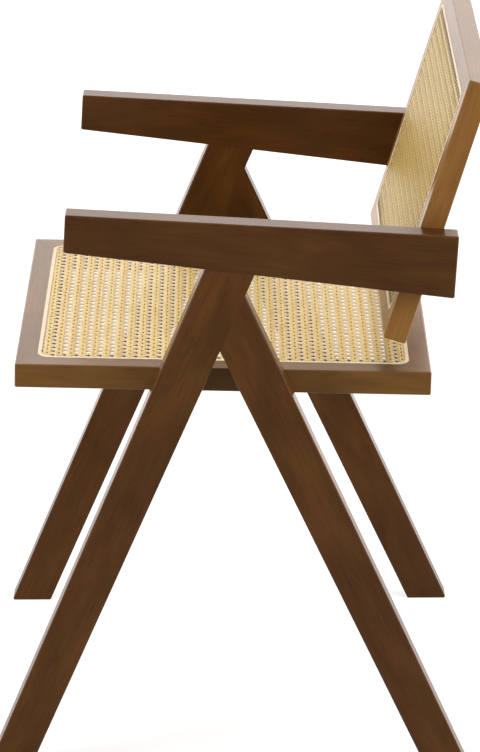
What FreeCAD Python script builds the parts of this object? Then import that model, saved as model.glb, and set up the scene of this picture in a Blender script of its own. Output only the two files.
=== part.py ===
import FreeCAD, Part
import math
import os

from FreeCAD import Placement, Rotation, Vector

# An armchair: two flat side frames, each an arm on two splayed legs, carry a caned seat and a
# caned back between them. Millimetres and degrees. +Z is up, the front faces -Y and the
# sitter's left is +X. The origin is on the floor, at the middle of the chair's box.

# Seat frame, in its own plane
seat_width = 476.0
seat_depth = 452.5
seat_thickness = 26.5
seat_front_height = 465.0
seat_tilt = 1.5
seat_rail_width = 42.0
seat_side_margin = 26.0
seat_end_margin = 23.0

# Back frame, in its own plane; its foot is set in from the seat's rear edge and above the seat
back_height = 300.0
back_thickness = 25.0
back_lean = 17.4
back_foot_inset = 53.7
back_foot_rise = 38.4
back_stile_width = 42.0
back_rail_width = 42.0
back_side_margin = 22.0
back_end_margin = 22.0

# Arms, from the seat's front edge to a little behind the line of the back's joints
side_thickness = 30.0
arm_inset = 59.0
arm_rise = 176.2
arm_slope = 3.55
arm_front_depth = 42.0
arm_rear_depth = 69.3
arm_tail = 24.1

# Legs: feet stand out past the seat, heads meet the arm and the other leg; widths square to the leg
front_foot_overhang = 15.1
front_head_inset = 202.5
rear_foot_overhang = 19.9
rear_head_drop = 59.5
leg_foot_width = 43.0
front_head_width = 53.0
rear_head_width = 51.0

# Rounded edges and outer corners of all the wood
edge_radius = 2.0

# Cane, tucked into a groove and held there by a spline
cane_thickness = 2.0
cane_tuck_thickness = 1.0
cane_pitch = 25.9
cane_gap = 14.0
spline_width = 4.2
spline_proud = 0.3
spline_corner_radius = 16.0
groove_depth = 6.0

# Loose tenons in the side frames, from these into the seat and the back, and in the mitred corners
tenon_thickness = 10.0
arm_tenon_width = 30.0
arm_tenon_length = 50.0
leg_tenon_width = 30.0
leg_tenon_length = 36.0
side_tenon_thickness = 8.0
side_tenon_width = 30.0
side_tenon_length = 36.0
corner_tenon_thickness = 6.0
corner_tenon_width = 24.0
corner_tenon_length = 26.0

# Room around what is fitted: at its sides, and at the end of a mortise
joint_room = 0.1
mortise_end_room = 1.0

side_face = seat_width / 2
side_middle = side_face + side_thickness / 2
reach = 2 * (seat_depth + seat_front_height + back_height)


def turned(angle):
    """Direction in the YZ plane, by its angle above +Y."""
    return Vector(0, math.cos(math.radians(angle)), math.sin(math.radians(angle)))


def meet(first, second):
    """Point in the YZ plane where two lines, each through two points, cross."""
    along = first[1] - first[0]
    other = second[1] - second[0]
    gap = second[0] - first[0]
    share = (gap.y * other.z - gap.z * other.y) / (along.y * other.z - along.z * other.y)
    return first[0] + along * share


def side_prism(points, low, high):
    """Solid of a YZ outline between two X faces."""
    outline = Part.Face(Part.makePolygon(points + points[:1]))
    outline.translate(Vector(low, 0, 0))
    return outline.extrude(Vector(high - low, 0, 0))


def left_of(line):
    """Everything on the left of a YZ line, as seen with +Y to the right and +Z up."""
    along = (line[1] - line[0]).normalize()
    across = Vector(0, -along.z, along.y)
    start = line[0] - along * reach
    end = line[0] + along * reach
    return side_prism([start, end, end + across * reach, start + across * reach], -reach, reach)


def tenon(centre, along, across, thickness, width, length, room=0.0, end_room=0.0):
    """Flat loose tenon with its middle at a point, or with room added its mortise."""
    long_side = along * (length + 2 * end_room)
    wide_side = across * (width + 2 * room)
    thick_side = along.cross(across) * (thickness + 2 * room)
    corner = centre - (long_side + wide_side + thick_side) * 0.5
    end = [corner, corner + wide_side, corner + wide_side + thick_side, corner + thick_side]
    return Part.Face(Part.makePolygon(end + end[:1])).extrude(long_side)


def mortise(centre, along, across, thickness, width, length):
    """Hole for a tenon, with room at its sides and ends."""
    return tenon(centre, along, across, thickness, width, length, joint_room, mortise_end_room)


def at_x(point, x):
    """A YZ point moved to a place along X."""
    return Vector(x, point.y, point.z)


def mirrored(shape):
    """The same piece for the other side of the chair."""
    return shape.mirror(Vector(0, 0, 0), Vector(1, 0, 0))


# Seat and back: each is a mitred frame with cane in a groove, made flat with its face at Z = 0
def rounded_block(width, length, radius, low, high):
    """Block centred on Z, with its four upright edges rounded."""
    corner = Vector(-width / 2, -length / 2, low)
    block = Part.makeBox(width, length, high - low, corner)
    uprights = [edge for edge in block.Edges if edge.BoundBox.ZLength > (high - low) / 2]
    return block.makeFillet(radius, uprights)


class CanedFrame:
    """Four mitred rails round a cane panel; sides run along Y, ends along X."""

    def __init__(self, width, length, thickness, side_width, end_width, side_margin, end_margin):
        self.width = width
        self.length = length
        self.thickness = thickness
        self.side_width = side_width
        self.end_width = end_width
        self.side_margin = side_margin
        self.end_margin = end_margin
        self.fixing_depth = (groove_depth + thickness) / 2

    def ring_block(self, inset, low, high):
        """Block inside the groove's outer wall, by an inset from it."""
        width = self.width - 2 * (self.side_margin + inset)
        length = self.length - 2 * (self.end_margin + inset)
        return rounded_block(width, length, spline_corner_radius - inset, low, high)

    def blank(self):
        """The whole frame as one piece, with its opening, its groove and the lip for the cane."""
        low_corner = Vector(-self.width / 2, -self.length / 2, -self.thickness)
        wood = Part.makeBox(self.width, self.length, self.thickness, low_corner)
        wood = wood.makeFillet(edge_radius, wood.Edges)
        open_width = self.width - 2 * self.side_width
        open_length = self.length - 2 * self.end_width
        corner = Vector(-open_width / 2, -open_length / 2, -self.thickness)
        wood = wood.cut(Part.makeBox(open_width, open_length, self.thickness, corner))
        tucked = spline_width + cane_tuck_thickness
        groove = self.ring_block(0, -groove_depth, 0)
        lip = self.ring_block(tucked, -groove_depth, -cane_thickness)
        return wood.cut(groove.cut(lip))

    def corner(self, x_side, y_side):
        """Outer and inner end of a mitre, halfway between the groove and the far face."""
        outer = Vector(self.width / 2, self.length / 2, -self.fixing_depth)
        inner = outer - Vector(self.side_width, self.end_width, 0)
        return [Vector(p.x * x_side, p.y * y_side, p.z) for p in (outer, inner)]

    def rail_zone(self, first, second):
        """Region of one rail, between the mitres at its two corners."""
        ends = self.corner(*first) + self.corner(*second)[::-1]
        outline = Part.Face(Part.makePolygon(ends + ends[:1]))
        outline.translate(Vector(0, 0, self.fixing_depth - self.thickness))
        return outline.extrude(Vector(0, 0, self.thickness))

    def corner_tenons(self, make):
        """A flat tenon across the middle of each mitre, or its mortise."""
        pieces = []
        sizes = (corner_tenon_thickness, corner_tenon_width, corner_tenon_length)
        for x_side in (-1, 1):
            for y_side in (-1, 1):
                outer, inner = self.corner(x_side, y_side)
                mitre = (inner - outer).normalize()
                across_mitre = Vector(-mitre.y, mitre.x, 0)
                pieces.append(make((outer + inner) * 0.5, across_mitre, mitre, *sizes))
        return pieces

    def rails(self):
        """Left, right, far and near rail."""
        wood = self.blank().cut(Part.makeCompound(self.corner_tenons(mortise)))
        zones = [
            self.rail_zone((1, -1), (1, 1)),
            self.rail_zone((-1, -1), (-1, 1)),
            self.rail_zone((-1, 1), (1, 1)),
            self.rail_zone((-1, -1), (1, -1)),
        ]
        return [wood.common(zone) for zone in zones]

    def cane(self):
        """Open net flush with the frame's face, its rim tucked down the groove's inner wall."""
        rim_inset = spline_width + joint_room
        wall_inset = spline_width + cane_tuck_thickness - joint_room
        sheet = self.ring_block(rim_inset, -cane_thickness, 0)
        face = min(sheet.Faces, key=lambda f: f.CenterOfMass.z)
        net = Part.makeFace([face.OuterWire] + self.gap_wires(), "Part::FaceMakerBullseye")
        net = net.extrude(Vector(0, 0, cane_thickness))
        tuck_low = joint_room - groove_depth
        tuck = self.ring_block(rim_inset, tuck_low, -cane_thickness)
        tuck = tuck.cut(self.ring_block(wall_inset, tuck_low, -cane_thickness))
        return net.fuse(tuck).removeSplitter()

    def gap_wires(self):
        """Square gaps in rows and columns, all inside the frame's opening."""
        strand = cane_pitch - cane_gap
        columns = int((self.width - 2 * self.side_width - strand) / cane_pitch)
        rows = int((self.length - 2 * self.end_width - strand) / cane_pitch)
        wires = []
        for column in range(columns):
            for row in range(rows):
                x = (column - (columns - 1) / 2) * cane_pitch - cane_gap / 2
                y = (row - (rows - 1) / 2) * cane_pitch - cane_gap / 2
                square = Part.makePlane(cane_gap, cane_gap, Vector(x, y, -cane_thickness))
                wires.append(square.OuterWire)
        return wires

    def spline(self):
        """Closed reed bead that fills the groove outside the cane's rim."""
        bead = self.ring_block(joint_room, joint_room - groove_depth, spline_proud)
        return bead.cut(self.ring_block(spline_width, joint_room - groove_depth, spline_proud))


seat = CanedFrame(
    width=seat_width,
    length=seat_depth,
    thickness=seat_thickness,
    side_width=seat_rail_width,
    end_width=seat_rail_width,
    side_margin=seat_side_margin,
    end_margin=seat_end_margin,
)
back = CanedFrame(
    width=seat_width,
    length=back_height,
    thickness=back_thickness,
    side_width=back_stile_width,
    end_width=back_rail_width,
    side_margin=back_side_margin,
    end_margin=back_end_margin,
)

seat_along = turned(-seat_tilt)
seat_up = turned(90 - seat_tilt)
seat_front = Vector(0, -seat_depth / 2, seat_front_height)
seat_rear = seat_front + seat_along * seat_depth
seat_place = Placement((seat_front + seat_rear) * 0.5, Rotation(Vector(1, 0, 0), -seat_tilt))

back_along = turned(90 - back_lean)
back_foot = seat_rear - seat_along * back_foot_inset + seat_up * back_foot_rise
back_place = Placement(back_foot + back_along * (back_height / 2), Rotation(Vector(1, 0, 0), 90 - back_lean))


def placed(shape, place):
    """Copy of a flat frame's piece in its place on the chair."""
    copy = shape.copy()
    copy.Placement = place.multiply(copy.Placement)
    return copy


def fixing_line(frame, place):
    """Line of the joints along a frame's sides, in the YZ plane."""
    ends = [Vector(0, y, -frame.fixing_depth) for y in (-frame.length / 2, frame.length / 2)]
    return [place.multVec(p) for p in ends]


seat_line = fixing_line(seat, seat_place)
back_line = fixing_line(back, back_place)

# Outline of a side frame: the arm reaches back to the back, and the rear leg up to the front leg
arm_along = turned(-arm_slope)
arm_down = turned(-90 - arm_slope)
arm_top_front = seat_front + Vector(0, arm_inset, arm_rise)
arm_top_rear = meet(back_line, (arm_top_front, arm_top_front + arm_along)) + arm_along * arm_tail
arm_low_front = arm_top_front + arm_down * arm_front_depth
arm_low_rear = arm_top_rear + arm_down * arm_rear_depth
arm_top = (arm_top_front, arm_top_rear)
arm_underside = (arm_low_front, arm_low_rear)


def leg_edges(foot, head, head_width):
    """Front and rear edge of a leg that tapers to its foot, each from the foot up."""
    along = (head - foot).normalize()
    edges = []
    for side in (-0.5, 0.5):
        low = foot + Vector(0, side * leg_foot_width / along.z, 0)
        high = head + Vector(0, side * head_width / along.z, 0)
        edges.append((low, high))
    return edges


front_foot = Vector(0, seat_front.y - front_foot_overhang, 0)
front_head = arm_top_front + Vector(0, front_head_inset, 0)
front_leg_front, front_leg_rear = leg_edges(front_foot, front_head, front_head_width)
head_front = meet(front_leg_front, arm_underside)
head_rear = meet(front_leg_rear, arm_underside)

rear_foot = Vector(0, seat_rear.y + rear_foot_overhang, 0)
rear_head = head_rear + (front_leg_rear[0] - front_leg_rear[1]).normalize() * rear_head_drop
rear_leg_front, rear_leg_rear = leg_edges(rear_foot, rear_head, rear_head_width)
crotch = meet(front_leg_rear, rear_leg_front)
notch = meet(front_leg_rear, rear_leg_rear)


def side_blank():
    """Arm and legs of the left side in one outline, with the free edges rounded."""
    feet = [front_leg_front[0], front_leg_rear[0], rear_leg_front[0], rear_leg_rear[0]]
    inner_corners = [head_front, crotch, notch, head_rear]
    outline = [arm_low_front, head_front, feet[0], feet[1], crotch, feet[2], feet[3], notch, head_rear]
    outline += [arm_low_rear, arm_top_rear, arm_top_front]
    blank = side_prism(outline, side_face, side_face + side_thickness)
    rounded = []
    for edge in blank.Edges:
        is_across = edge.BoundBox.XLength > side_thickness / 2
        middle = edge.CenterOfMass
        near = min(math.hypot(middle.y - p.y, middle.z - p.z) for p in inner_corners)
        if not is_across or near > edge_radius:
            rounded.append(edge)
    return blank.makeFillet(edge_radius, rounded)


# Tenons of the side frame
leg_up = (front_head - front_foot).normalize()
joint_up = (notch - crotch).normalize()


def square_to(direction):
    """Direction in the YZ plane at a right angle to another."""
    return Vector(0, direction.z, -direction.y)


def arm_tenon(make):
    """Tenon along the front leg into the arm, or its mortise."""
    middle = at_x((head_front + head_rear) * 0.5, side_middle)
    return make(middle, leg_up, square_to(leg_up), tenon_thickness, arm_tenon_width, arm_tenon_length)


def leg_tenon(make):
    """Tenon square to the joint between the legs, or its mortise."""
    middle = at_x((notch + crotch) * 0.5, side_middle)
    return make(middle, square_to(joint_up), joint_up, tenon_thickness, leg_tenon_width, leg_tenon_length)


def side_tenon(point, across, make):
    """Tenon from a side frame into the seat's or the back's side, or its mortise."""
    sizes = (side_tenon_thickness, side_tenon_width, side_tenon_length)
    return make(at_x(point, side_face), Vector(1, 0, 0), across, *sizes)


def seat_tenons(make):
    """A tenon on the middle line of each leg."""
    points = [meet(seat_line, (front_foot, front_head)), meet(seat_line, (rear_foot, rear_head))]
    return [side_tenon(point, seat_along, make) for point in points]


def back_tenons(make):
    """A tenon halfway up the arm."""
    point = (meet(back_line, arm_underside) + meet(back_line, arm_top)) * 0.5
    return [side_tenon(point, back_along, make)]


def side_pieces():
    """Arm, front leg and rear leg of the left side."""
    mortises = [arm_tenon(mortise), leg_tenon(mortise)] + seat_tenons(mortise) + back_tenons(mortise)
    wood = side_blank().cut(Part.makeCompound(mortises))
    above_joint = left_of(arm_underside)
    legs = wood.cut(above_joint)
    before_joint = left_of(front_leg_rear)
    return wood.common(above_joint), legs.common(before_joint), legs.cut(before_joint)


# Every node of the chair, by name
nodes = {}


def add_pair(name, shape):
    """A piece and its mirror image, as two nodes."""
    nodes[name + "_left"] = shape
    nodes[name + "_right"] = mirrored(shape)


def add_group(name, shapes):
    """Like pieces of both sides, as one node."""
    nodes[name] = Part.makeCompound(shapes + [mirrored(shape) for shape in shapes])


arm, front_leg, rear_leg = side_pieces()
add_pair("arm", arm)
add_pair("front_leg", front_leg)
add_pair("rear_leg", rear_leg)
add_group("arm_tenons", [arm_tenon(tenon)])
add_group("leg_tenons", [leg_tenon(tenon)])

caned_frames = [
    ("seat", seat, seat_place, seat_tenons, ("side_rail", "rear_rail", "front_rail")),
    ("back", back, back_place, back_tenons, ("stile", "top_rail", "bottom_rail")),
]
for prefix, frame, place, side_tenons, (side_name, far_name, near_name) in caned_frames:
    left, right, far, near = [placed(rail, place) for rail in frame.rails()]
    mortises = Part.makeCompound(side_tenons(mortise))
    nodes[prefix + "_" + side_name + "_left"] = left.cut(mortises)
    nodes[prefix + "_" + side_name + "_right"] = right.cut(mirrored(mortises))
    nodes[prefix + "_" + far_name] = far
    nodes[prefix + "_" + near_name] = near
    nodes[prefix + "_cane"] = placed(frame.cane(), place)
    nodes[prefix + "_spline"] = placed(frame.spline(), place)
    corner_tenons = [placed(piece, place) for piece in frame.corner_tenons(tenon)]
    nodes[prefix + "_corner_tenons"] = Part.makeCompound(corner_tenons)
    add_group(prefix + "_side_tenons", side_tenons(tenon))

# The origin goes to the middle of the chair, front to rear
chair_box = Part.makeCompound(list(nodes.values())).BoundBox
centring = Vector(0, -(chair_box.YMin + chair_box.YMax) / 2, 0)

os.makedirs("parts", exist_ok=True)
for name, shape in nodes.items():
    shape.translate(centring)
    shape.exportStep(os.path.join("parts", name + ".step"))
print(len(nodes), "nodes; moved along Y by", round(centring.y, 3))
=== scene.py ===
import math

import bpy
import numpy as np
from mathutils import Matrix, Vector


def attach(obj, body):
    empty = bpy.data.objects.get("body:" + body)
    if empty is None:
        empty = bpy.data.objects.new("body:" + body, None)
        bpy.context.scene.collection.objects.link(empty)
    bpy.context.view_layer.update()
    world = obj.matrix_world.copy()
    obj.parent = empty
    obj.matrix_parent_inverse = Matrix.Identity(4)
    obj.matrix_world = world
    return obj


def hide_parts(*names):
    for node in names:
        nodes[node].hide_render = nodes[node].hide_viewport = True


# A walnut-stained armchair with a caned seat and back. Metres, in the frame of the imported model:
# +Z up, the front faces -Y, the sitter's left is +X. The CAD pieces get materials, and woven
# strands stand for the two plain nets.
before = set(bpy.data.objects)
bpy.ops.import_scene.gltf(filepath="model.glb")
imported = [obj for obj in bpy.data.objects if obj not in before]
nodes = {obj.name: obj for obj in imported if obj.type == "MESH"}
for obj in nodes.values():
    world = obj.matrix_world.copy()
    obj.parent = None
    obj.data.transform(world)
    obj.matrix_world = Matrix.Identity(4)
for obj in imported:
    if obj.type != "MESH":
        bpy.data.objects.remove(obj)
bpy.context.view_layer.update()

# Weave of the cane; levels, lifts and drops are in thicknesses of a strand
PITCH = 0.01295
SLANT_WIDTH = 0.0042
STRAND_THICKNESS = 0.00100
STRAND_SWAY = 0.00005
WIDTH_RANGE = (1.0, 1.06)
SLANT_LIFT = 0.12
SLANT_DROP = 0.35
SLANT_PLACES = (-0.17, 0.17, 0.33, 0.67)
EDGE_SLIT = 0.0008
END_LENGTH = 0.0075
SHORTEST_IN_BENDS = 2.5
BEND_ROOM = 1.1
SEAT_WEAVE = {"holes": (32, 30), "width": 0.0029, "spread": 0.0018, "skew": 0.0065, "depth": 0.0009,
              "level": 0.30, "lift": 0.08, "bend": 0.0009, "dip": 0.0, "margin": 0.0014, "shadow": 0.0}
BACK_WEAVE = {"holes": (33, 20), "width": 0.0033, "spread": 0.0013, "skew": 0.0, "depth": 0.0006,
              "level": 0.05, "lift": 0.45, "bend": 0.0032, "dip": 0.0010, "margin": 0.0060, "shadow": 1.0}
SPLINE_WIDTH = 0.0042
SPLINE_PROUD = 0.0003
TUCK_WIDTH = 0.0006
TUCK_DEPTH = 0.0028
CORNER_RADIUS = 0.0160

# Seeds of what is random
SEAT_SEED = 11
BACK_SEED = 23
WOOD_SEED = 5

# Camera, as the photo was taken
IMAGE_LONG_SIDE = 752
FOCAL_PIXELS = 3999.5
SENSOR = 36.0
CAMERA_PLACE = Vector((4.35064, 0.01391, 1.83310))
CAMERA_YAW = 0.1009
CAMERA_PITCH = -18.5845
CAMERA_ROLL = -0.3168


# Node helpers
def new_material(name):
    """Empty material with a principled shader; returns its material, tree and shader."""
    material = bpy.data.materials.new(name)
    material.use_nodes = True
    tree = material.node_tree
    return material, tree, tree.nodes["Principled BSDF"]


def add(tree, kind, **values):
    """A node with inputs set by name; a value that is a socket is linked."""
    node = tree.nodes.new(kind)
    for name, value in values.items():
        key = name.replace("_", " ")
        if isinstance(value, bpy.types.NodeSocket):
            tree.links.new(value, node.inputs[key])
        else:
            node.inputs[key].default_value = value
    return node


def ramp(tree, factor, stops):
    """Colour ramp from a list of (place, colour)."""
    node = tree.nodes.new("ShaderNodeValToRGB")
    tree.links.new(factor, node.inputs["Fac"])
    elements = node.color_ramp.elements
    while len(elements) < len(stops):
        elements.new(0.5)
    for element, (place, colour) in zip(elements, stops):
        element.position = place
        element.color = (*colour, 1.0)
    return node.outputs["Color"]


def grey(value):
    return (value, value, value)


# Places of the colour sockets among all the sockets of a mix node
MIX_FIRST, MIX_SECOND, MIX_RESULT = 6, 7, 2


def blended(tree, factor, first, second, blend="MIX"):
    """Colour mix; first, second and factor are sockets or values."""
    node = tree.nodes.new("ShaderNodeMix")
    node.data_type = "RGBA"
    node.blend_type = blend
    sockets = (node.inputs["Factor"], node.inputs[MIX_FIRST], node.inputs[MIX_SECOND])
    for socket, value in zip(sockets, (factor, first, second)):
        if isinstance(value, bpy.types.NodeSocket):
            tree.links.new(value, socket)
        else:
            socket.default_value = value
    return node.outputs[MIX_RESULT]


def darkened(tree, colour, share, pattern, low, high, shade):
    """The colour with a share of the shade where a pattern is low, and none where it is high."""
    shades = ramp(tree, pattern, [(low, shade), (high, grey(1.0))])
    return blended(tree, share, colour, shades, "MULTIPLY")


def noise(tree, vector, scale, detail=2.0, roughness=0.5, distortion=0.0):
    node = add(tree, "ShaderNodeTexNoise", Vector=vector, Scale=scale, Detail=detail,
               Roughness=roughness, Distortion=distortion)
    return node.outputs["Fac"]


def stretched(tree, vector, along):
    """The same coordinates, drawn out along the grain, which runs in Y."""
    node = add(tree, "ShaderNodeMapping", Vector=vector, Scale=(1.0, along, 1.0))
    return node.outputs["Vector"]


# Materials
def wood(name, rotation, offset, streak, deep, middle, light):
    """Stained, semi-gloss wood with its grain along one direction, and streaks as dark as asked."""
    material, tree, shader = new_material(name)
    place = tree.nodes.new("ShaderNodeTexCoord").outputs["Object"]
    grain_space = add(tree, "ShaderNodeMapping", Vector=place, Rotation=rotation, Location=offset)
    vector = grain_space.outputs["Vector"]
    figure = noise(tree, stretched(tree, vector, 0.30), 30.0, distortion=0.4)
    warmth = noise(tree, stretched(tree, vector, 0.45), 75.0)
    lines = noise(tree, stretched(tree, vector, 0.045), 340.0, 5.0, 0.65, 0.15)
    streaks = noise(tree, stretched(tree, vector, 0.09), 420.0, 1.0, distortion=0.2)
    pores = noise(tree, stretched(tree, vector, 0.045), 850.0)
    colour = ramp(tree, figure, [(0.30, deep), (0.52, middle), (0.74, light)])
    tint = ramp(tree, warmth, [(0.35, (0.95, 1.0, 0.90)), (0.65, (1.03, 0.97, 1.06))])
    colour = blended(tree, 1.0, colour, tint, "MULTIPLY")
    colour = darkened(tree, colour, 0.35, lines, 0.32, 0.60, grey(0.50))
    colour = darkened(tree, colour, streak, streaks, 0.27, 0.38, grey(0.55))
    colour = darkened(tree, colour, 0.25, pores, 0.29, 0.37, grey(0.45))
    tree.links.new(colour, shader.inputs["Base Color"])
    gloss = add(tree, "ShaderNodeMapRange", Value=lines, To_Min=0.30, To_Max=0.22)
    tree.links.new(gloss.outputs["Result"], shader.inputs["Roughness"])
    shader.inputs["Specular IOR Level"].default_value = 0.11
    return material


def strip_noise(tree, scale, detail, roughness):
    """Noise along and across a strip of cane."""
    strip = tree.nodes.new("ShaderNodeUVMap")
    strip.uv_map = "strip"
    place = add(tree, "ShaderNodeMapping", Vector=strip.outputs["UV"], Scale=(*scale, 1.0))
    return noise(tree, place.outputs["Vector"], 1.0, detail, roughness)


def attribute(tree, name):
    node = tree.nodes.new("ShaderNodeAttribute")
    node.attribute_name = name
    return node.outputs["Fac"]


def cane_bark(name, crevice, dark, middle, pale):
    """Glossy outside of the rattan strips, each of its own shade, with fibres along its length."""
    material, tree, shader = new_material(name)
    colour = ramp(tree, attribute(tree, "tint"), [(0.0, dark), (0.35, middle), (1.0, pale)])
    patches = strip_noise(tree, (22.0, 3.0), 2.0, 0.5)
    colour = darkened(tree, colour, 0.8, patches, 0.34, 0.55, (0.88, 0.78, 0.64))
    fibres = strip_noise(tree, (40.0, 1600.0), 3.0, 0.6)
    colour = darkened(tree, colour, 0.7, fibres, 0.30, 0.60, grey(0.82))
    # Painted shade where strands cross, on their lower edges and near the border
    colour = blended(tree, attribute(tree, "crevice"), colour, (*crevice, 1.0))
    tree.links.new(colour, shader.inputs["Base Color"])
    shader.inputs["Roughness"].default_value = 0.38
    shader.inputs["Specular IOR Level"].default_value = 0.15
    return material


def cane_core(name, crevice):
    """Matt, fibrous cut sides and underside of the strips."""
    material, tree, shader = new_material(name)
    fibres = strip_noise(tree, (60.0, 2200.0), 4.0, 0.65)
    colour = ramp(tree, fibres, [(0.30, (0.56, 0.40, 0.20)), (0.65, (0.74, 0.58, 0.36))])
    # Painted shade where strands cross, on their lower edges and near the border
    colour = blended(tree, attribute(tree, "crevice"), colour, (*crevice, 1.0))
    tree.links.new(colour, shader.inputs["Base Color"])
    shader.inputs["Roughness"].default_value = 0.8
    shader.inputs["Specular IOR Level"].default_value = 0.2
    return material


def spline_material():
    """Pale reed with faint fibres."""
    material, tree, shader = new_material("spline")
    place = tree.nodes.new("ShaderNodeTexCoord").outputs["Object"]
    mottle = noise(tree, place, 160.0, 3.0, 0.6)
    colour = ramp(tree, mottle, [(0.30, (0.84, 0.67, 0.46)), (0.65, (0.92, 0.78, 0.59))])
    tree.links.new(colour, shader.inputs["Base Color"])
    shader.inputs["Roughness"].default_value = 0.5
    shader.inputs["Specular IOR Level"].default_value = 0.3
    return material


BEECH = ((0.50, 0.33, 0.18), (0.60, 0.42, 0.25), (0.66, 0.48, 0.30))
BEECH_STREAK = 0.2


def raw_beech():
    """Unstained wood of the hidden tenons."""
    straight = (0.0, 0.0, 0.0)
    return wood("tenon", straight, straight, BEECH_STREAK, *BEECH)


# Woven cane
def panel_plane(spline_name):
    """Place of a caned frame's face, with X across and Y along it, and the spline's outer half sizes."""
    points = np.array([v.co for v in nodes[spline_name].data.vertices])
    middle = (points.min(0) + points.max(0)) / 2
    normal = np.linalg.svd(points - points.mean(0), full_matrices=False)[2][2]
    normal *= np.sign(normal[2])
    across = np.array([1.0, 0.0, 0.0])
    along = np.cross(normal, across)
    axes = np.stack([across, along, normal])
    local = (points - middle) @ axes.T
    half = (local.max(0) - local.min(0)) / 2
    centre = middle + along * (local.max(0) + local.min(0))[1] / 2
    face = centre + normal * (local[:, 2].max() - SPLINE_PROUD)
    return face, axes, half[:2]


def reach(start, direction, half, radius, halvings=40):
    """How far a line runs from a point inside a rounded rectangle to its border, found by halving."""
    low, high = 0.0, 2 * float(np.hypot(*half))
    for _ in range(halvings):
        middle = (low + high) / 2
        x, y = np.abs(start + direction * middle)
        dx, dy = x - (half[0] - radius), y - (half[1] - radius)
        inside = max(dx, dy) <= radius and (min(dx, dy) <= 0 or math.hypot(dx, dy) <= radius)
        low, high = (middle, high) if inside else (low, middle)
    return low


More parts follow.
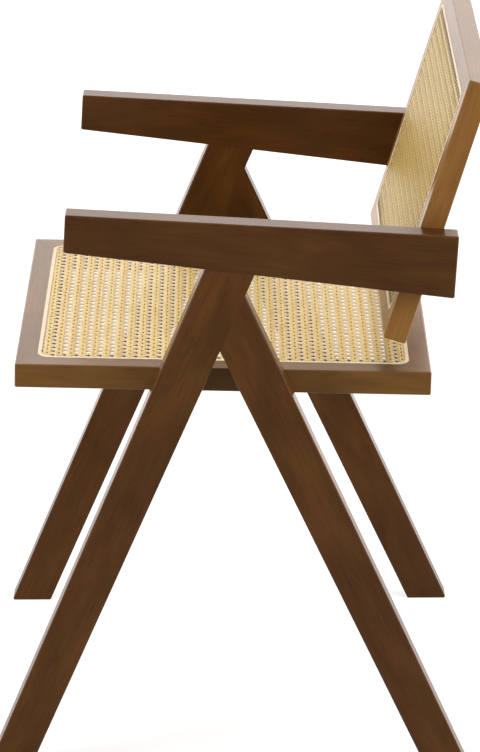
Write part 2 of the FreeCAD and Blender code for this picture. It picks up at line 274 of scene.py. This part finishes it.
class Weave:
    """Strands of one cane panel: interlaced pairs both ways, and single diagonals.

    The width is one strand's, and the spread is how far the strands of a pair part. The weave lies at
    its depth below the frame's face. The pairs across lie higher than those along the panel by twice
    the level, and each strand goes up and down by the lift. The skew is how far the pairs across run
    off the square. Each end bends down to the groove over the bend's length, by the dip. A strand of a
    pair that would lie nearer to the border than the margin is left out. The shadow is how much painted
    shade darkens the lower edges, the low side of each crossing, the edges where the strands tuck into
    the groove, and the ends of the diagonals."""

    def __init__(self, half, radius, seed, holes, width, spread, skew, depth, level, lift, bend, dip,
                 margin, shadow):
        self.half = half
        self.radius = radius
        self.holes = holes
        self.width = width
        self.spread = spread
        self.shear = np.array([(1.0, 0.0), (skew, 1.0)])
        self.level = level * STRAND_THICKNESS
        self.lift = lift * STRAND_THICKNESS
        self.bend = bend
        self.depth = depth
        self.rim = depth + dip
        self.margin = margin
        self.shadow = shadow
        self.random = np.random.default_rng(seed)

    def strand(self, start, direction, crossings, steps, width, end_shade=0.0):
        """Middle line, shades, side and width of a strip, or None where too little of it shows.

        steps are (place, height, aside, shade, shade of the edges), repeated from each crossing."""
        direction = self.shear @ direction
        start = self.shear @ start
        side = np.array([-direction[1], direction[0]])
        ahead = reach(start, direction, self.half, self.radius)
        behind = -reach(start, -direction, self.half, self.radius)
        if ahead - behind < SHORTEST_IN_BENDS * self.bend:
            return None
        repeats = [np.array(steps) + (crossing, -self.depth, 0, 0, 0) for crossing in crossings]
        body = np.concatenate(repeats)
        room = BEND_ROOM * self.bend
        inside = (body[:, 0] > behind + room) & (body[:, 0] < ahead - room)
        # Painted shade on the edges where the strand tucks into the groove, and all over the ends of the
        # diagonals
        tuck = np.array([(0, -TUCK_DEPTH, 0, 0, self.shadow), (0, -self.rim, 0, 0, self.shadow),
                         (self.bend, -self.depth, 0, 0, 0)])
        last = (tuck * (-1, 1, 1, 1, 1))[::-1] + (ahead, 0, 0, 0, 0)
        rows = np.concatenate([tuck + (behind, 0, 0, 0, 0), body[inside], last])
        near_end = np.minimum(rows[:, 0] - behind, ahead - rows[:, 0]) < END_LENGTH
        rows[near_end, 3] = np.maximum(rows[near_end, 3], end_shade)
        places, heights, aside = rows[:, :3].T
        aside = aside + self.random.normal(0, STRAND_SWAY, len(aside))
        flat = start + np.outer(places, direction) + np.outer(aside, side)
        line = np.column_stack([flat, heights])
        return line, rows[:, 3:], np.append(side, 0.0), width * self.random.uniform(*WIDTH_RANGE)

    def pair_lines(self, axis):
        """Middle lines of the pairs met along one axis, with one more at each end."""
        count = self.holes[axis]
        return (np.arange(-1, count + 2) - count / 2) * PITCH

    def pairs(self, axis):
        """Pairs side by side along one axis; the two strands of a pair part a little at each crossing."""
        offset = self.width / 2
        limit = self.half[axis] - EDGE_SLIT - self.width / 2
        turn = 1 if axis == 1 else -1
        level = turn * self.level
        for middle in self.pair_lines(axis):
            for side in (-turn, turn):
                place = middle + turn * side * offset
                if abs(place) > self.half[axis] - self.margin:
                    continue
                start = np.zeros(2)
                start[axis] = np.clip(place, -limit, limit)
                lift, spread = side * self.lift, side * self.spread
                # Painted shade: a dark dot under each crossing on the pairs along, and darker edges on the
                # low side of each crossing
                shade = 1.0 if axis == 0 else 0.0
                low = np.clip((-side, side), 0, 1) * self.shadow
                steps = [(-offset, level + lift, spread / 4, low[0] / 2, low[0]),
                         (0.0, level, spread, shade, 0.0),
                         (offset, level - lift, spread / 4, low[1] / 2, low[1]),
                         (PITCH / 2, level, 0.0, 0.0, 0.0)]
                crossings = self.pair_lines(1 - axis)
                yield self.strand(start, np.eye(2)[1 - axis], crossings, steps, self.width)

    def diagonals(self):
        """Single strands on both slants; one slant passes over the pairs that the other passes under."""
        xs, ys = self.pair_lines(0), self.pair_lines(1)
        most = len(xs) + len(ys)
        stretch = PITCH * math.sqrt(2)
        for slope in (1, -1):
            first, second = (SLANT_LIFT, -SLANT_DROP)[::slope]
            heights = np.repeat((first, second), 2) * STRAND_THICKNESS
            steps = [(place * stretch, height, 0.0, 0.0, 0.0)
                     for place, height in zip(SLANT_PLACES, heights)]
            direction = np.array([1.0, slope]) / math.sqrt(2)
            shift = xs[0] - slope * ys[0] - slope * PITCH / 2
            for step in range(-most, most + 1):
                # Lines x - slope * y = level, each started where it is nearest the middle
                level = shift + step * PITCH
                start = np.array([level / 2, -slope * level / 2])
                if np.all(np.abs(start) < self.half - TUCK_WIDTH):
                    crossings = (xs - start[0]) * math.sqrt(2)
                    yield self.strand(start, direction, crossings, steps, SLANT_WIDTH, self.shadow)


class StripMesh:
    """Flat strips swept along lines, each with its own shade and its own row of the bake map."""

    # In widths and thicknesses: flat below, crowned above; the first faces are the crown
    section = np.array([(-0.49, 0.40), (-0.30, 0.50), (0.30, 0.50), (0.49, 0.40),
                        (0.50, -0.15), (0.44, -0.50), (-0.44, -0.50), (-0.50, -0.15)])
    crown_faces = 3
    edge_start = 0.45
    sharp_angle = 40
    # Spread of the strips' shades, how far apart they lie in the noise, and the space round a bake row
    tint_shape = (2.2, 1.6)
    longest_shift = 10
    row_margin = 0.05
    # Keeps an upright stretch from having no length or sign
    tiny = 1e-9

    def __init__(self, strands, shadow, random):
        self.strands = [strand for strand in strands if strand]
        self.random = random
        outward = np.abs(self.section[:, 0])
        self.upper = self.section[:, 1] > self.section[:, 1].min()
        self.edges = outward > self.edge_start
        # Painted shade on the widest corners of the sides, as dark as the shadow asks
        self.side_shades = shadow * (outward == outward.max())
        self.points, self.quads, self.caps = [], [], []
        self.strips, self.rows, self.tints, self.shades = [], [], [], []
        self.count = 0
        self.longest = max(self.lengths(strand[0])[-1] for strand in self.strands)
        for row, strand in enumerate(self.strands):
            self.sweep(row, *strand)

    def lengths(self, line):
        return np.concatenate([[0.0], np.cumsum(np.linalg.norm(np.diff(line, axis=0), axis=1))])

    def sweep(self, row, line, shades, side, width):
        """One closed strip along a line."""
        tangent = np.gradient(line, axis=0)
        up = np.cross(tangent, side)
        length_up = np.linalg.norm(up, axis=1) + self.tiny
        up *= (np.sign(up[:, 2] + self.tiny) / length_up)[:, None]
        across = self.section[:, 0] * width
        rise = self.section[:, 1] * STRAND_THICKNESS
        rings = line[:, None, :] + across[None, :, None] * side + rise[None, :, None] * up[:, None, :]
        steps, size = rings.shape[:2]
        step, corner = np.meshgrid(np.arange(steps - 1), np.arange(size), indexing="ij")
        step = np.stack([step, step, step + 1, step + 1], axis=2)
        corner = np.stack([corner, corner + 1, corner + 1, corner], axis=2)
        length = self.lengths(line)
        strip = np.empty((steps, size, 2))
        strip[:, :, 0] = length[:, None] + self.random.uniform(0, self.longest_shift)
        strip[:, :, 1] = across[None, :]
        row_height = 1 - 2 * self.row_margin
        place_across = (row + self.row_margin + row_height * corner / size) / len(self.strands)
        self.rows.append(np.stack([length[step] / self.longest, place_across], axis=3).reshape(-1, 2))
        self.quads.append((self.count + step * size + corner % size).reshape(-1, 4))
        first_ring = self.count + np.arange(size)
        self.caps += [first_ring[::-1], first_ring + (steps - 1) * size]
        self.points.append(rings.reshape(-1, 3))
        self.strips.append(strip.reshape(-1, 2))
        self.tints.append(np.full(steps * size, self.random.beta(*self.tint_shape)))
        # Painted shade: the crossing shade stays off the underside, and the edge shade lies on the edges
        # only
        edges = np.maximum(shades[:, 1:] * self.edges, self.side_shades)
        self.shades.append(np.maximum(shades[:, :1] * self.upper, edges).ravel())
        self.count += steps * size

    def piece(self, name, face, axes, materials):
        """Object of all strips, laid on a face, with the crown in the first material."""
        points = face + np.concatenate(self.points) @ axes
        quads, caps = np.concatenate(self.quads), np.array(self.caps)
        mesh = bpy.data.meshes.new(name)
        mesh.from_pydata(points.tolist(), [], quads.tolist() + caps.tolist())
        crown = np.arange(len(quads)) % len(self.section) < self.crown_faces
        crown = np.concatenate([crown, np.zeros(len(caps), bool)])
        mesh.polygons.foreach_set("use_smooth", crown)
        mesh.polygons.foreach_set("material_index", np.where(crown, 0, 1))
        mesh.set_sharp_from_angle(angle=math.radians(self.sharp_angle))
        corners = np.concatenate([quads.ravel(), caps.ravel()])
        bake = np.concatenate(self.rows + [np.zeros((caps.size, 2))])
        for label, places in (("strip", np.concatenate(self.strips)[corners]), ("OFBake", bake)):
            mesh.uv_layers.new(name=label).data.foreach_set("uv", places.ravel())
        # Each strip's own tone, and the amount of painted shade at each point
        for label, values in (("tint", self.tints), ("crevice", self.shades)):
            layer = mesh.attributes.new(label, "FLOAT", "POINT")
            layer.data.foreach_set("value", np.concatenate(values))
        for material in materials:
            mesh.materials.append(material)
        piece = bpy.data.objects.new(name, mesh)
        bpy.context.scene.collection.objects.link(piece)
        return piece


def weave_panel(part, pattern, seed, barks, core):
    """Woven cane in a frame's groove, in place of the CAD net."""
    face, axes, half = panel_plane(part + "_spline")
    inset = SPLINE_WIDTH + TUCK_WIDTH
    weave = Weave(half - inset, CORNER_RADIUS - inset, seed, **pattern)
    kinds = {"along": weave.pairs(0), "across": weave.pairs(1), "slanted": weave.diagonals()}
    for (kind, strands), bark in zip(kinds.items(), barks):
        name = part + "_cane_" + kind
        piece = StripMesh(strands, weave.shadow, weave.random).piece(name, face, axes, (bark, core))
        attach(piece, "root")
        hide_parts(part + "_cane")


# Colours of the cane, from the dark strips to the pale ones, and of the painted shade where strands cross,
# along their lower edges and near their ends
SEAT_PAINTED_SHADE = (0.34, 0.12, 0.015)
BACK_PAINTED_SHADE = (0.10, 0.05, 0.012)
golden = cane_bark("cane_golden", SEAT_PAINTED_SHADE, (0.72, 0.45, 0.11), (0.79, 0.56, 0.16), (0.83, 0.63, 0.22))
# The pale bark on the seat's pairs along is paler than the golden, partly as a painted highlight of their
# gloss; the slanted strands share it
pale = cane_bark("cane_pale_painted_highlight", SEAT_PAINTED_SHADE, (0.76, 0.57, 0.30), (0.82, 0.66, 0.40), (0.86, 0.72, 0.50))
# The back's barks are darker copies of the golden: painted shade on the back, and deeper painted shade on
# its slanted strands, which lie lower
golden_painted_back_shade = cane_bark("cane_golden_painted_back_shade", BACK_PAINTED_SHADE, (0.60, 0.38, 0.09), (0.66, 0.47, 0.13), (0.72, 0.55, 0.18))
golden_painted_slant_shade = cane_bark("cane_golden_painted_slant_shade", BACK_PAINTED_SHADE, (0.38, 0.24, 0.06), (0.44, 0.30, 0.09), (0.50, 0.37, 0.13))
seat_core = cane_core("cane_seat_core", SEAT_PAINTED_SHADE)
back_core = cane_core("cane_back_core", BACK_PAINTED_SHADE)
weave_panel("seat", SEAT_WEAVE, SEAT_SEED, (pale, golden, pale), seat_core)
weave_panel("back", BACK_WEAVE, BACK_SEED, (golden_painted_back_shade, golden_painted_back_shade, golden_painted_slant_shade), back_core)


# Finishes of the CAD pieces
def paint(name, material):
    mesh = nodes[name].data
    mesh.materials.clear()
    mesh.materials.append(material)


def length_angle(name):
    """Angle above +Y of a piece that lies in a side plane, from its longest direction."""
    points = np.array([v.co for v in nodes[name].data.vertices])[:, 1:]
    axis = np.linalg.svd(points - points.mean(0), full_matrices=False)[2][0]
    return math.atan2(axis[1], axis[0])


# Stain of the boards: the flat side frames are the darkest, and each board has its own strength, which
# also paints light and shade on it, so that the far, right-hand legs are darker than their twins
WALNUT = ((0.080, 0.029, 0.0056), (0.105, 0.039, 0.0076), (0.130, 0.052, 0.0106))
AMBER = ((0.165, 0.075, 0.0175), (0.205, 0.096, 0.0230), (0.245, 0.117, 0.0290))
STREAKS = {WALNUT: 0.50, AMBER: 0.15}
ALONG_Y = {
    "arm_left": (WALNUT, 0.86), "arm_right": (WALNUT, 0.84),
    "front_leg_left": (WALNUT, 1.00), "front_leg_right": (WALNUT, 0.84),
    "rear_leg_left": (WALNUT, 1.00), "rear_leg_right": (WALNUT, 0.76),
    "seat_side_rail_left": (AMBER, 0.97), "seat_side_rail_right": (AMBER, 0.97),
    "back_stile_left": (AMBER, 1.4), "back_stile_right": (AMBER, 1.3),
}
ALONG_X = {
    "seat_front_rail": (AMBER, 0.78), "seat_rear_rail": (AMBER, 0.9),
    "back_top_rail": (AMBER, 0.7), "back_bottom_rail": (AMBER, 1.2),
}


def stained_and_shaded(random, name, rotation, tones, strength):
    """Wood of one board, from its own place in the tree."""
    offset = random.uniform(-1, 1, 3)
    # The strength paints light and shade on the board as well as scaling its stain
    shades = [tuple(strength * value for value in tone) for tone in tones]
    paint(name, wood("wood_" + name, rotation, offset, STREAKS[tones], *shades))


random = np.random.default_rng(WOOD_SEED)
for name, tones_and_shade in ALONG_Y.items():
    stained_and_shaded(random, name, (-length_angle(name), 0.0, 0.0), *tones_and_shade)
for name, tones_and_shade in ALONG_X.items():
    stained_and_shaded(random, name, (0.0, 0.0, math.pi / 2), *tones_and_shade)
spline = spline_material()
for name in ("seat_spline", "back_spline"):
    paint(name, spline)
beech = raw_beech()
for name in nodes:
    if name.endswith("_tenons"):
        paint(name, beech)


# Floor, light and camera
WHITE = (1.0, 1.0, 1.0, 1.0)
FLOOR_HALF = 6.0
FLOOR_COLOUR = (0.45, 0.45, 0.45, 1.0)
FLOOR_GLOW = 0.70
GLOW_START = 1.2
GLOW_END = 2.6
AMBIENT = 0.18


def background_rays(tree):
    """1 for the rays that show the background: seen, mirrored or through glass."""
    path = tree.nodes.new("ShaderNodeLightPath")
    either = path.outputs["Is Camera Ray"]
    for name in ("Is Glossy Ray", "Is Transmission Ray"):
        node = tree.nodes.new("ShaderNodeMath")
        node.operation = "MAXIMUM"
        tree.links.new(either, node.inputs[0])
        tree.links.new(path.outputs[name], node.inputs[1])
        either = node.outputs["Value"]
    return either


def floor_glow(tree):
    """White for the rays that show the background. Near the chair it is less, where the lamps add to it,
    and mirrored rays see that lower level all over."""
    distance = tree.nodes.new("ShaderNodeVectorMath")
    distance.operation = "LENGTH"
    tree.links.new(tree.nodes.new("ShaderNodeTexCoord").outputs["Object"], distance.inputs[0])
    seen = tree.nodes.new("ShaderNodeLightPath").outputs["Is Camera Ray"]
    far = add(tree, "ShaderNodeMapRange", Value=seen, To_Min=FLOOR_GLOW, To_Max=1.0)
    level = add(tree, "ShaderNodeMapRange", Value=distance.outputs["Value"], From_Min=GLOW_START,
                From_Max=GLOW_END, To_Min=FLOOR_GLOW, To_Max=far.outputs["Result"])
    glow = tree.nodes.new("ShaderNodeMath")
    glow.operation = "MULTIPLY"
    tree.links.new(background_rays(tree), glow.inputs[0])
    tree.links.new(level.outputs["Result"], glow.inputs[1])
    return glow.outputs["Value"]


def clear_from_behind(tree):
    """1 on the upper side and 0 on the other, so that the chair shows from below the floor."""
    behind = tree.nodes.new("ShaderNodeNewGeometry").outputs["Backfacing"]
    return add(tree, "ShaderNodeMapRange", Value=behind, To_Min=1.0, To_Max=0.0).outputs["Result"]


def pale_floor():
    """Floor that shows white with a faint shadow."""
    half = FLOOR_HALF
    corners = [(-half, -half, 0), (half, -half, 0), (half, half, 0), (-half, half, 0)]
    mesh = bpy.data.meshes.new("floor")
    mesh.from_pydata(corners, [], [(0, 1, 2, 3)])
    floor = bpy.data.objects.new("floor", mesh)
    bpy.context.scene.collection.objects.link(floor)
    material, tree, shader = new_material("floor")
    shader.inputs["Base Color"].default_value = FLOOR_COLOUR
    shader.inputs["Roughness"].default_value = 1.0
    shader.inputs["Specular IOR Level"].default_value = 0.0
    shader.inputs["Emission Color"].default_value = WHITE
    tree.links.new(floor_glow(tree), shader.inputs["Emission Strength"])
    tree.links.new(clear_from_behind(tree), shader.inputs["Alpha"])
    mesh.materials.append(material)


def white_world():
    """Even soft light, and a white background."""
    world = bpy.data.worlds.new("studio")
    bpy.context.scene.world = world
    world.use_nodes = True
    tree = world.node_tree
    back = tree.nodes["Background"]
    back.inputs["Color"].default_value = WHITE
    level = add(tree, "ShaderNodeMapRange", Value=background_rays(tree), To_Min=AMBIENT, To_Max=1.0)
    tree.links.new(level.outputs["Result"], back.inputs["Strength"])


NEUTRAL = (1.0, 1.0, 1.0)
WARM = (1.0, 0.85, 0.77)


def softbox(name, place, target, width, height, power, colour=NEUTRAL):
    """Area lamp aimed at a point."""
    lamp = bpy.data.lights.new(name, "AREA")
    lamp.shape = "RECTANGLE"
    lamp.size = width
    lamp.size_y = height
    lamp.energy = power
    lamp.color = colour
    box = bpy.data.objects.new(name, lamp)
    box.location = place
    box.rotation_euler = (Vector(target) - Vector(place)).to_track_quat("-Z", "Y").to_euler()
    box.visible_camera = False
    bpy.context.scene.collection.objects.link(box)


def photo_camera():
    """Camera with the photo's place, direction and field of view."""
    yaw, pitch, roll = (math.radians(a) for a in (CAMERA_YAW, CAMERA_PITCH, CAMERA_ROLL))
    forward = Vector((-math.cos(yaw) * math.cos(pitch), -math.sin(yaw) * math.cos(pitch), math.sin(pitch)))
    right = forward.cross(Vector((0, 0, 1))).normalized()
    up = right.cross(forward)
    turned_right = right * math.cos(roll) + up * math.sin(roll)
    turned_up = up * math.cos(roll) - right * math.sin(roll)
    data = bpy.data.cameras.new("camera")
    data.sensor_width = SENSOR
    data.lens = FOCAL_PIXELS * SENSOR / IMAGE_LONG_SIDE
    camera = bpy.data.objects.new("camera", data)
    axes = Matrix((turned_right, turned_up, -forward)).transposed()
    camera.matrix_world = Matrix.Translation(CAMERA_PLACE) @ axes.to_4x4()
    bpy.context.scene.collection.objects.link(camera)
    bpy.context.scene.camera = camera


pale_floor()
white_world()
softbox("front", (0.85, -1.9, 1.0), (0, 0, 0.4), width=1.0, height=1.0, power=36.0)
softbox("rear", (0.85, 1.9, 1.0), (0, 0, 0.4), width=1.0, height=1.0, power=38.0)
softbox("top", (-0.3, 0.7, 2.8), (0, 0, 0.4), width=2.0, height=2.0, power=38.0)
softbox("backdrop", (-3.2, 0.0, 1.5), (0, 0, 0.5), width=2.6, height=2.6, power=33.0, colour=WARM)
softbox("low", (-0.95, 0.0, 0.34), (0, 0, 0.34), width=1.7, height=0.66, power=2.6, colour=WARM)
photo_camera()
bpy.context.scene.view_settings.view_transform = "Standard"
